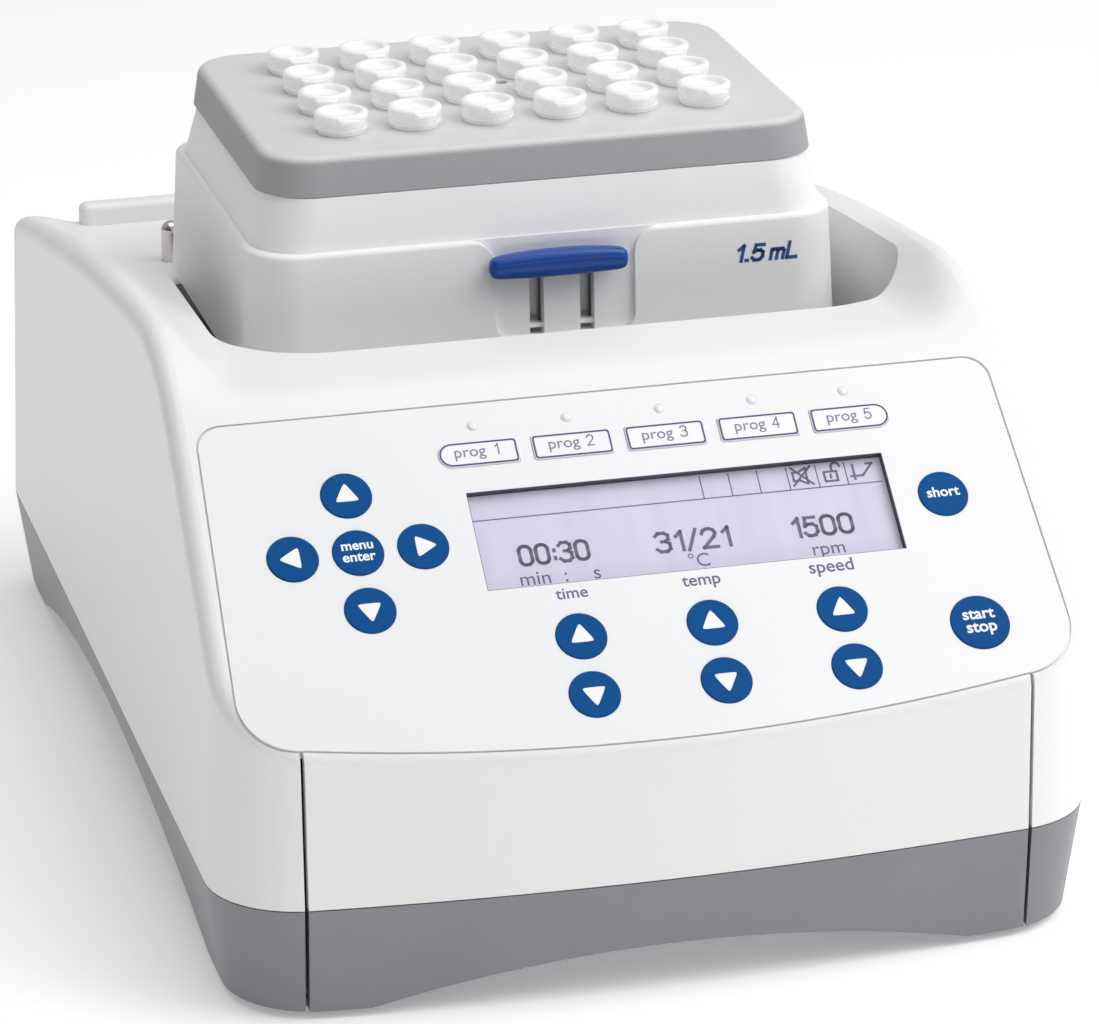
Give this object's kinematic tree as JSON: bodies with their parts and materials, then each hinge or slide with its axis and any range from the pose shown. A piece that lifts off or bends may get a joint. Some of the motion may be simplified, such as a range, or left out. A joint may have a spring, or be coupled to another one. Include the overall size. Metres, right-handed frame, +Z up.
{
  "type": "dry block heater",
  "caption": "Bench dry block heater and orbital mixer: sculpted white casing on a grey arched base, sloping key panel with display, lift-out block holding lidded tubes.",
  "frame": {"origin": "on the desk, under the middle of the instrument's bounding box", "axes": "+Z up, +Y to the back, +X to the user's right"},
  "size_m": [0.206, 0.304, 0.1655],
  "materials": {
    "base_grey": "fine textured moulded plastic",
    "housing_white": "satin painted moulding",
    "foil_white": "satin polyester foil",
    "window_clear": "clear window",
    "display_lavender": "liquid crystal display",
    "lamp_white": "translucent light guide",
    "board_green": "printed circuit board",
    "steel_sheet": "plated sheet steel",
    "foot_rubber": "moulded rubber",
    "steel_screw": "zinc plated",
    "black_plastic": "moulded plastic",
    "rocker_black": "moulded plastic",
    "aluminium_raw": "machined",
    "bearing_steel": "ground steel",
    "liner_grey": "light grey moulding",
    "post_nickel": "nickel plated",
    "ceramic_white": "ceramic faced module",
    "block_white": "fine textured moulding",
    "cover_grey": "light grey top, darker textured rim",
    "grip_blue": "glossy blue moulding",
    "key_blue": "blue printed key cap",
    "prog_white": "white key cap with blue outline",
    "tube_frosted": "frosted polypropylene"
  },
  "bodies": {
    "housing": {"lower_housing": "base_grey", "front_skirt": "base_grey", "upper_housing": "housing_white", "front_fascia": "housing_white", "control_foil": "foil_white", "display_window": "window_clear", "display_module": "display_lavender", "program_lamps": "lamp_white", "keypad_board": "board_green", "main_board": "board_green", "power_supply": "steel_sheet", "chassis_plate": "steel_sheet", "rubber_feet": "foot_rubber", "housing_screws": "steel_screw", "power_inlet": "black_plastic", "fuse_drawer": "black_plastic", "switch_frame": "black_plastic", "service_port": "steel_sheet", "fan_housing": "black_plastic", "motor_stator": "steel_sheet", "motor_bracket": "aluminium_raw", "frame_bearings": "bearing_steel", "well_liner": "liner_grey", "lid_contact_post": "post_nickel"},
    "rocker": {"power_switch": "rocker_black"},
    "fan": {"fan_rotor": "black_plastic"},
    "drive": {"drive_crank": "bearing_steel"},
    "idler_left": {"idler_crank_left": "bearing_steel"},
    "idler_right": {"idler_crank_right": "bearing_steel"},
    "table": {"shaker_table": "aluminium_raw", "table_bearings": "bearing_steel", "thermal_plate": "aluminium_raw", "peltier_modules": "ceramic_white", "heat_sink": "aluminium_raw"},
    "block": {"heat_block": "aluminium_raw", "block_housing": "block_white", "block_cover": "cover_grey"},
    "latch": {"release_grip": "grip_blue", "release_yoke": "steel_sheet"},
    "tubes": {"tube_vessels": "tube_frosted", "tube_lids": "tube_frosted"},
    "button_menu_enter": {"key_menu_enter": "key_blue"},
    "button_up": {"key_up": "key_blue"},
    "button_down": {"key_down": "key_blue"},
    "button_left": {"key_left": "key_blue"},
    "button_right": {"key_right": "key_blue"},
    "button_short": {"key_short": "key_blue"},
    "button_start_stop": {"key_start_stop": "key_blue"},
    "button_time_up": {"key_time_up": "key_blue"},
    "button_time_down": {"key_time_down": "key_blue"},
    "button_temp_up": {"key_temp_up": "key_blue"},
    "button_temp_down": {"key_temp_down": "key_blue"},
    "button_speed_up": {"key_speed_up": "key_blue"},
    "button_speed_down": {"key_speed_down": "key_blue"},
    "button_prog_1": {"key_prog_1": "prog_white"},
    "button_prog_2": {"key_prog_2": "prog_white"},
    "button_prog_3": {"key_prog_3": "prog_white"},
    "button_prog_4": {"key_prog_4": "prog_white"},
    "button_prog_5": {"key_prog_5": "prog_white"}
  },
  "joints": [
    {"name": "drive_spin", "type": "hinge", "parent": "housing", "child": "drive", "pos_m": [0.00416, 0.03476, 0.0525], "axis": [0, 0, 1], "continuous": true},
    {"name": "idler_left_spin", "type": "hinge", "parent": "housing", "child": "idler_left", "pos_m": [-0.05784, 0.03476, 0.0525], "axis": [0, 0, 1], "continuous": true},
    {"name": "idler_right_spin", "type": "hinge", "parent": "housing", "child": "idler_right", "pos_m": [0.06616, 0.03476, 0.0525], "axis": [0, 0, 1], "continuous": true},
    {"name": "table_orbit", "type": "hinge", "parent": "drive", "child": "table", "pos_m": [0.00566, 0.03476, 0.067], "axis": [0, 0, 1], "continuous": true},
    {"name": "block_lift", "type": "slide", "parent": "table", "child": "block", "axis": [0, 0, 1], "range_m": [0, 0.06]},
    {"name": "latch_press", "type": "slide", "parent": "block", "child": "latch", "axis": [0, 0, -1], "range_m": [0, 0.014], "stiffness_N_per_m": 150, "springref_m": -0.005},
    {"name": "tube_lift", "type": "slide", "parent": "block", "child": "tubes", "axis": [0, 0, 1], "range_m": [0, 0.045]},
    {"name": "power_rocker", "type": "hinge", "parent": "housing", "child": "rocker", "pos_m": [0.03, 0.1474, 0.058], "axis": [1, 0, 0], "range_deg": [-12, 0]},
    {"name": "fan_spin", "type": "hinge", "parent": "housing", "child": "fan", "pos_m": [-0.022, 0.136, 0.062], "axis": [0, 1, 0], "continuous": true},
    {"name": "button_menu_enter_press", "type": "slide", "parent": "housing", "child": "button_menu_enter", "axis": [0, 0.6388, -0.7694], "range_m": [0, 0.0005], "stiffness_N_per_m": 400, "springref_m": -0.0002},
    {"name": "button_up_press", "type": "slide", "parent": "housing", "child": "button_up", "axis": [0, 0.6388, -0.7694], "range_m": [0, 0.0005], "stiffness_N_per_m": 400, "springref_m": -0.0002},
    {"name": "button_down_press", "type": "slide", "parent": "housing", "child": "button_down", "axis": [0, 0.6388, -0.7694], "range_m": [0, 0.0005], "stiffness_N_per_m": 400, "springref_m": -0.0002},
    {"name": "button_left_press", "type": "slide", "parent": "housing", "child": "button_left", "axis": [0, 0.6388, -0.7694], "range_m": [0, 0.0005], "stiffness_N_per_m": 400, "springref_m": -0.0002},
    {"name": "button_right_press", "type": "slide", "parent": "housing", "child": "button_right", "axis": [0, 0.6388, -0.7694], "range_m": [0, 0.0005], "stiffness_N_per_m": 400, "springref_m": -0.0002},
    {"name": "button_short_press", "type": "slide", "parent": "housing", "child": "button_short", "axis": [0, 0.6388, -0.7694], "range_m": [0, 0.0005], "stiffness_N_per_m": 400, "springref_m": -0.0002},
    {"name": "button_start_stop_press", "type": "slide", "parent": "housing", "child": "button_start_stop", "axis": [0, 0.6388, -0.7694], "range_m": [0, 0.0005], "stiffness_N_per_m": 400, "springref_m": -0.0002},
    {"name": "button_time_up_press", "type": "slide", "parent": "housing", "child": "button_time_up", "axis": [0, 0.6388, -0.7694], "range_m": [0, 0.0005], "stiffness_N_per_m": 400, "springref_m": -0.0002},
    {"name": "button_time_down_press", "type": "slide", "parent": "housing", "child": "button_time_down", "axis": [0, 0.6388, -0.7694], "range_m": [0, 0.0005], "stiffness_N_per_m": 400, "springref_m": -0.0002},
    {"name": "button_temp_up_press", "type": "slide", "parent": "housing", "child": "button_temp_up", "axis": [0, 0.6388, -0.7694], "range_m": [0, 0.0005], "stiffness_N_per_m": 400, "springref_m": -0.0002},
    {"name": "button_temp_down_press", "type": "slide", "parent": "housing", "child": "button_temp_down", "axis": [0, 0.6388, -0.7694], "range_m": [0, 0.0005], "stiffness_N_per_m": 400, "springref_m": -0.0002},
    {"name": "button_speed_up_press", "type": "slide", "parent": "housing", "child": "button_speed_up", "axis": [0, 0.6388, -0.7694], "range_m": [0, 0.0005], "stiffness_N_per_m": 400, "springref_m": -0.0002},
    {"name": "button_speed_down_press", "type": "slide", "parent": "housing", "child": "button_speed_down", "axis": [0, 0.6388, -0.7694], "range_m": [0, 0.0005], "stiffness_N_per_m": 400, "springref_m": -0.0002},
    {"name": "button_prog_1_press", "type": "slide", "parent": "housing", "child": "button_prog_1", "axis": [0, 0.6388, -0.7694], "range_m": [0, 0.0005], "stiffness_N_per_m": 400, "springref_m": -0.0002},
    {"name": "button_prog_2_press", "type": "slide", "parent": "housing", "child": "button_prog_2", "axis": [0, 0.6388, -0.7694], "range_m": [0, 0.0005], "stiffness_N_per_m": 400, "springref_m": -0.0002},
    {"name": "button_prog_3_press", "type": "slide", "parent": "housing", "child": "button_prog_3", "axis": [0, 0.6388, -0.7694], "range_m": [0, 0.0005], "stiffness_N_per_m": 400, "springref_m": -0.0002},
    {"name": "button_prog_4_press", "type": "slide", "parent": "housing", "child": "button_prog_4", "axis": [0, 0.6388, -0.7694], "range_m": [0, 0.0005], "stiffness_N_per_m": 400, "springref_m": -0.0002},
    {"name": "button_prog_5_press", "type": "slide", "parent": "housing", "child": "button_prog_5", "axis": [0, 0.6388, -0.7694], "range_m": [0, 0.0005], "stiffness_N_per_m": 400, "springref_m": -0.0002}
  ],
  "couplings": [
    {"joint": "idler_left_spin", "follows": "drive_spin", "ratio": 1},
    {"joint": "idler_right_spin", "follows": "drive_spin", "ratio": 1},
    {"joint": "table_orbit", "follows": "drive_spin", "ratio": -1}
  ]
}
